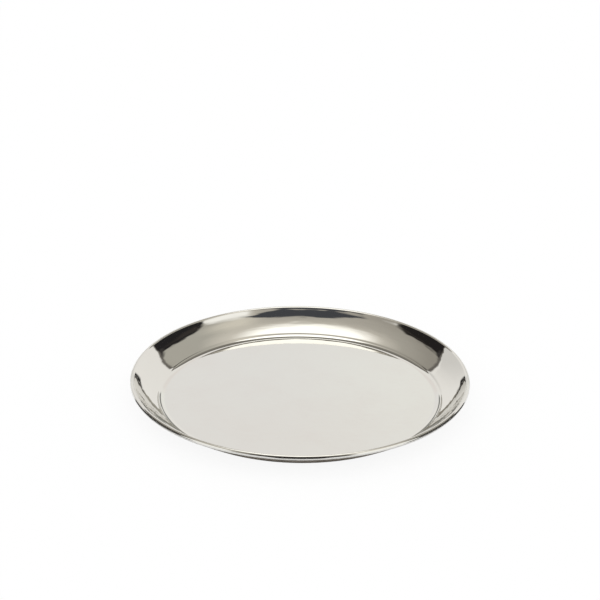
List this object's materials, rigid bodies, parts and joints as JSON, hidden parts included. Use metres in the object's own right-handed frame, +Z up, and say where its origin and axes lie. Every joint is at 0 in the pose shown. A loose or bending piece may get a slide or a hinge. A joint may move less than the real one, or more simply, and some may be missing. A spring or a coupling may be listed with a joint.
{
  "type": "coin tray",
  "caption": "Round shallow coin tray pressed from one polished steel disc, with a flat floor, a curved flaring wall and a hollow rolled rim.",
  "frame": {"origin": "centre of the underside of the floor, where the tray stands on a table", "axes": "+Z straight up along the tray's axis of revolution; X and Y are any two level directions, because the tray is round"},
  "size_m": [0.14, 0.14, 0.0095],
  "materials": {
    "polished_steel": "polished"
  },
  "bodies": {
    "root": {"dish": "polished_steel"}
  },
  "joints": []
}
